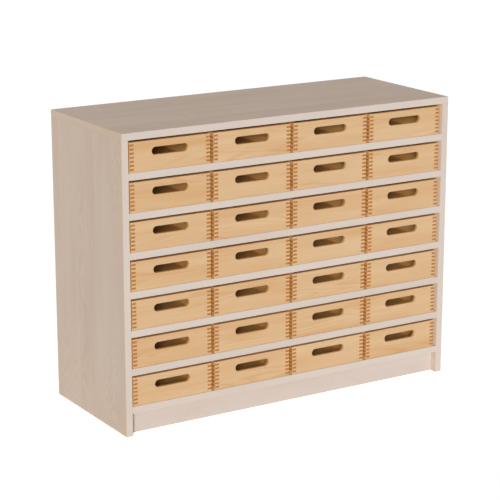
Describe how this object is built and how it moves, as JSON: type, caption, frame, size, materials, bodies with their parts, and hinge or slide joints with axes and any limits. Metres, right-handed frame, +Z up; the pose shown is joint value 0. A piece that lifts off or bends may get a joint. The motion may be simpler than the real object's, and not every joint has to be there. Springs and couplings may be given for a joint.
{
  "type": "tray storage cabinet",
  "caption": "Low veneered cabinet with rows of loose finger-jointed wooden trays that slide out by a hand slot in each front",
  "frame": {"origin": "middle of the cabinet's footprint, on the floor", "axes": "+Z up, the tray fronts face -Y, +X to the right seen from the front"},
  "size_m": [1.022, 0.4, 0.8],
  "materials": {
    "carcass_veneer": "satin whitish glaze",
    "back_veneer": "matt",
    "edge_band": "satin",
    "tray_wood": "satin clear lacquer"
  },
  "bodies": {
    "cabinet": {"left_side_panel": "carcass_veneer", "right_side_panel": "carcass_veneer", "top_panel": "carcass_veneer", "bottom_panel": "carcass_veneer", "shelf_1": "carcass_veneer", "shelf_2": "carcass_veneer", "shelf_3": "carcass_veneer", "shelf_4": "carcass_veneer", "shelf_5": "carcass_veneer", "shelf_6": "carcass_veneer", "front_plinth": "carcass_veneer", "rear_plinth": "carcass_veneer", "plinth_bearer": "carcass_veneer", "back_panel": "back_veneer", "top_front_band": "edge_band", "top_end_bands": "edge_band", "side_front_bands": "edge_band", "shelf_front_bands": "edge_band"},
    "tray_r1c1": {"tray_r1c1": "tray_wood"},
    "tray_r1c2": {"tray_r1c2": "tray_wood"},
    "tray_r1c3": {"tray_r1c3": "tray_wood"},
    "tray_r1c4": {"tray_r1c4": "tray_wood"},
    "tray_r2c1": {"tray_r2c1": "tray_wood"},
    "tray_r2c2": {"tray_r2c2": "tray_wood"},
    "tray_r2c3": {"tray_r2c3": "tray_wood"},
    "tray_r2c4": {"tray_r2c4": "tray_wood"},
    "tray_r3c1": {"tray_r3c1": "tray_wood"},
    "tray_r3c2": {"tray_r3c2": "tray_wood"},
    "tray_r3c3": {"tray_r3c3": "tray_wood"},
    "tray_r3c4": {"tray_r3c4": "tray_wood"},
    "tray_r4c1": {"tray_r4c1": "tray_wood"},
    "tray_r4c2": {"tray_r4c2": "tray_wood"},
    "tray_r4c3": {"tray_r4c3": "tray_wood"},
    "tray_r4c4": {"tray_r4c4": "tray_wood"},
    "tray_r5c1": {"tray_r5c1": "tray_wood"},
    "tray_r5c2": {"tray_r5c2": "tray_wood"},
    "tray_r5c3": {"tray_r5c3": "tray_wood"},
    "tray_r5c4": {"tray_r5c4": "tray_wood"},
    "tray_r6c1": {"tray_r6c1": "tray_wood"},
    "tray_r6c2": {"tray_r6c2": "tray_wood"},
    "tray_r6c3": {"tray_r6c3": "tray_wood"},
    "tray_r6c4": {"tray_r6c4": "tray_wood"},
    "tray_r7c1": {"tray_r7c1": "tray_wood"},
    "tray_r7c2": {"tray_r7c2": "tray_wood"},
    "tray_r7c3": {"tray_r7c3": "tray_wood"},
    "tray_r7c4": {"tray_r7c4": "tray_wood"}
  },
  "joints": [
    {"name": "tray_r1c1_slide", "type": "slide", "parent": "cabinet", "child": "tray_r1c1", "axis": [0, -1, 0], "range_m": [0, 0.391]},
    {"name": "tray_r1c2_slide", "type": "slide", "parent": "cabinet", "child": "tray_r1c2", "axis": [0, -1, 0], "range_m": [0, 0.391]},
    {"name": "tray_r1c3_slide", "type": "slide", "parent": "cabinet", "child": "tray_r1c3", "axis": [0, -1, 0], "range_m": [0, 0.391]},
    {"name": "tray_r1c4_slide", "type": "slide", "parent": "cabinet", "child": "tray_r1c4", "axis": [0, -1, 0], "range_m": [0, 0.391]},
    {"name": "tray_r2c1_slide", "type": "slide", "parent": "cabinet", "child": "tray_r2c1", "axis": [0, -1, 0], "range_m": [0, 0.391]},
    {"name": "tray_r2c2_slide", "type": "slide", "parent": "cabinet", "child": "tray_r2c2", "axis": [0, -1, 0], "range_m": [0, 0.391]},
    {"name": "tray_r2c3_slide", "type": "slide", "parent": "cabinet", "child": "tray_r2c3", "axis": [0, -1, 0], "range_m": [0, 0.391]},
    {"name": "tray_r2c4_slide", "type": "slide", "parent": "cabinet", "child": "tray_r2c4", "axis": [0, -1, 0], "range_m": [0, 0.391]},
    {"name": "tray_r3c1_slide", "type": "slide", "parent": "cabinet", "child": "tray_r3c1", "axis": [0, -1, 0], "range_m": [0, 0.391]},
    {"name": "tray_r3c2_slide", "type": "slide", "parent": "cabinet", "child": "tray_r3c2", "axis": [0, -1, 0], "range_m": [0, 0.391]},
    {"name": "tray_r3c3_slide", "type": "slide", "parent": "cabinet", "child": "tray_r3c3", "axis": [0, -1, 0], "range_m": [0, 0.391]},
    {"name": "tray_r3c4_slide", "type": "slide", "parent": "cabinet", "child": "tray_r3c4", "axis": [0, -1, 0], "range_m": [0, 0.391]},
    {"name": "tray_r4c1_slide", "type": "slide", "parent": "cabinet", "child": "tray_r4c1", "axis": [0, -1, 0], "range_m": [0, 0.391]},
    {"name": "tray_r4c2_slide", "type": "slide", "parent": "cabinet", "child": "tray_r4c2", "axis": [0, -1, 0], "range_m": [0, 0.391]},
    {"name": "tray_r4c3_slide", "type": "slide", "parent": "cabinet", "child": "tray_r4c3", "axis": [0, -1, 0], "range_m": [0, 0.391]},
    {"name": "tray_r4c4_slide", "type": "slide", "parent": "cabinet", "child": "tray_r4c4", "axis": [0, -1, 0], "range_m": [0, 0.391]},
    {"name": "tray_r5c1_slide", "type": "slide", "parent": "cabinet", "child": "tray_r5c1", "axis": [0, -1, 0], "range_m": [0, 0.391]},
    {"name": "tray_r5c2_slide", "type": "slide", "parent": "cabinet", "child": "tray_r5c2", "axis": [0, -1, 0], "range_m": [0, 0.391]},
    {"name": "tray_r5c3_slide", "type": "slide", "parent": "cabinet", "child": "tray_r5c3", "axis": [0, -1, 0], "range_m": [0, 0.391]},
    {"name": "tray_r5c4_slide", "type": "slide", "parent": "cabinet", "child": "tray_r5c4", "axis": [0, -1, 0], "range_m": [0, 0.391]},
    {"name": "tray_r6c1_slide", "type": "slide", "parent": "cabinet", "child": "tray_r6c1", "axis": [0, -1, 0], "range_m": [0, 0.391]},
    {"name": "tray_r6c2_slide", "type": "slide", "parent": "cabinet", "child": "tray_r6c2", "axis": [0, -1, 0], "range_m": [0, 0.391]},
    {"name": "tray_r6c3_slide", "type": "slide", "parent": "cabinet", "child": "tray_r6c3", "axis": [0, -1, 0], "range_m": [0, 0.391]},
    {"name": "tray_r6c4_slide", "type": "slide", "parent": "cabinet", "child": "tray_r6c4", "axis": [0, -1, 0], "range_m": [0, 0.391]},
    {"name": "tray_r7c1_slide", "type": "slide", "parent": "cabinet", "child": "tray_r7c1", "axis": [0, -1, 0], "range_m": [0, 0.391]},
    {"name": "tray_r7c2_slide", "type": "slide", "parent": "cabinet", "child": "tray_r7c2", "axis": [0, -1, 0], "range_m": [0, 0.391]},
    {"name": "tray_r7c3_slide", "type": "slide", "parent": "cabinet", "child": "tray_r7c3", "axis": [0, -1, 0], "range_m": [0, 0.391]},
    {"name": "tray_r7c4_slide", "type": "slide", "parent": "cabinet", "child": "tray_r7c4", "axis": [0, -1, 0], "range_m": [0, 0.391]}
  ]
}
